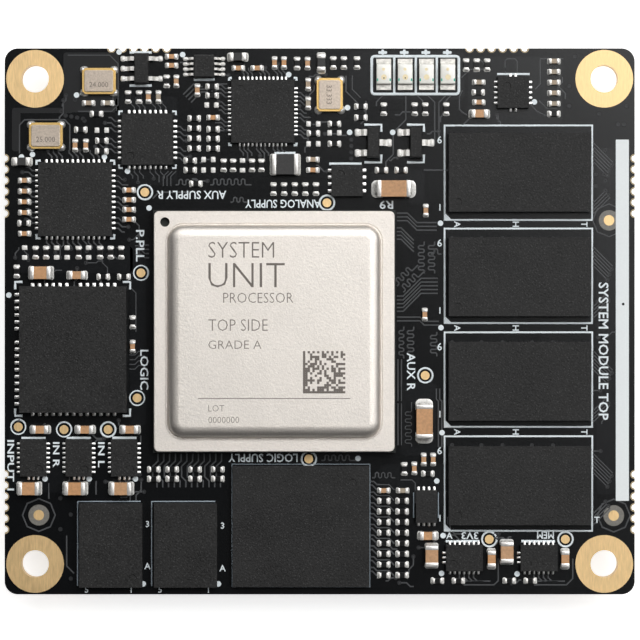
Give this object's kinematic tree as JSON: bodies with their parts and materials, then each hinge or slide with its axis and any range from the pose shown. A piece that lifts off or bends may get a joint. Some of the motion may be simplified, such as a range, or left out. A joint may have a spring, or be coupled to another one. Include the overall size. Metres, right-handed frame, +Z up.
{
  "type": "system on module",
  "caption": "Populated processor board with a lidded processor, memory, storage and power parts on top and two board-to-board connectors below, fixed at its corner holes.",
  "frame": {"origin": "under the board's centre, on the mating plane of the two underside connectors", "axes": "+X along the board's longer side, +Y along its shorter side, +Z up from the connectors to the lid"},
  "size_m": [0.06, 0.052, 0.0088],
  "materials": {
    "laminate": "black solder mask over glass laminate",
    "gold": "gold plated copper",
    "contact_gold": "gold plated spring bronze",
    "package_base": "dark build-up laminate",
    "lid_metal": "nickel plated, fine matte",
    "silicon": "bare silicon",
    "paste": "thermal paste",
    "adhesive": "lid adhesive",
    "solder": "reflowed solder",
    "mould": "moulded epoxy with fine speckle",
    "tin": "matte tin plating",
    "crystal_case": "gold plated rim",
    "crystal_lid": "satin metal lid",
    "lamp_base": "white laminate",
    "lamp_lens": "clear moulded epoxy",
    "resistor_body": "black glazed ceramic",
    "capacitor_body": "tan fired ceramic",
    "ferrite": "dark ferrite",
    "connector_plastic": "black glass-filled plastic"
  },
  "bodies": {
    "root": {"circuit_board": "laminate", "mounting_pads": "gold", "test_pads": "gold", "fiducial_pads": "gold", "connector_contacts": "contact_gold", "processor_substrate": "package_base", "processor_lid": "lid_metal", "processor_die": "silicon", "thermal_paste": "paste", "lid_adhesive": "adhesive", "processor_solder_balls": "solder", "memory_solder_balls": "solder", "storage_solder_balls": "solder", "flash_solder_balls": "solder", "storage_chip": "mould", "flash_chip_1": "mould", "flash_chip_2": "mould", "power_module": "mould", "network_transceiver": "mould", "port_transceiver": "mould", "clock_generator": "mould", "load_switch": "mould", "linear_regulator": "mould", "identity_memory": "mould", "power_module_pads": "solder", "network_transceiver_pads": "solder", "port_transceiver_pads": "solder", "clock_generator_pads": "solder", "small_package_pads": "solder", "reset_supervisor": "mould", "bus_buffer": "mould", "transistor_1": "mould", "transistor_2": "mould", "formed_leads": "tin", "crystal_cases": "crystal_case", "crystal_lids": "crystal_lid", "lamp_bases": "lamp_base", "lamp_lenses": "lamp_lens", "lamp_terminals": "tin", "resistor_bodies": "resistor_body", "resistor_terminals": "tin", "capacitor_bodies": "capacitor_body", "capacitor_terminals": "tin", "bulk_capacitor_bodies": "capacitor_body", "bulk_capacitor_terminals": "tin", "ferrite_bead_bodies": "ferrite", "power_inductor": "ferrite", "inductor_terminals": "tin", "connector_housing_1": "connector_plastic", "connector_housing_2": "connector_plastic", "memory_chip_1": "mould", "memory_chip_2": "mould", "memory_chip_3": "mould", "memory_chip_4": "mould", "buck_regulator_1": "mould", "buck_regulator_2": "mould", "buck_regulator_3": "mould", "buck_regulator_4": "mould", "buck_regulator_5": "mould"}
  },
  "joints": []
}
